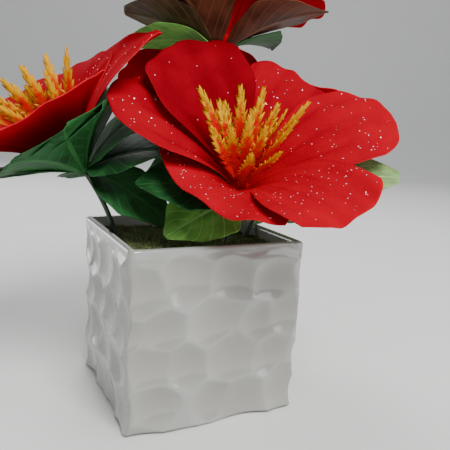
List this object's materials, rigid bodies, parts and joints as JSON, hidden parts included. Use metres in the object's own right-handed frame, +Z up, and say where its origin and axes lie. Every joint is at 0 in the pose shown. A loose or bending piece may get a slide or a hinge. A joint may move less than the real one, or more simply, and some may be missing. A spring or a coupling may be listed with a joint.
{
  "type": "potted artificial hibiscus bush",
  "caption": "Artificial hibiscus bush with large red velvet blooms, toothed stamens and cloth leaves on wire stems, in a square white hammered ceramic pot.",
  "frame": {"origin": "middle of the pot's flat underside, at the floor", "axes": "+Z up; +X to the right along the pot's front wall; +Y to the back, so the front wall faces -Y"},
  "size_m": [0.2486, 0.2365, 0.2385],
  "materials": {
    "ceramic": "white glazed ceramic, hammered into soft dents",
    "moss": "dry brown-green moss over foam",
    "wire": "dark green plastic sleeve over wire",
    "leaf_cloth": "printed green cloth, slightly waxy",
    "velvet": "deep red velvet with a sprinkle of glitter",
    "stamen": "soft plastic, yellow fading to orange and red"
  },
  "bodies": {
    "root": {"pot": "ceramic", "moss": "moss", "stem_front": "wire", "leaves_front": "leaf_cloth", "petals_front": "velvet", "stamens_front": "stamen", "stem_left": "wire", "leaves_left": "leaf_cloth", "petals_left": "velvet", "stamens_left": "stamen", "stem_top": "wire", "leaves_top": "leaf_cloth", "petals_top": "velvet", "stamens_top": "stamen", "stem_back": "wire", "leaves_back": "leaf_cloth", "petals_back": "velvet", "stamens_back": "stamen", "stem_right": "wire", "leaves_right": "leaf_cloth", "petals_right": "velvet", "stamens_right": "stamen"}
  },
  "joints": []
}
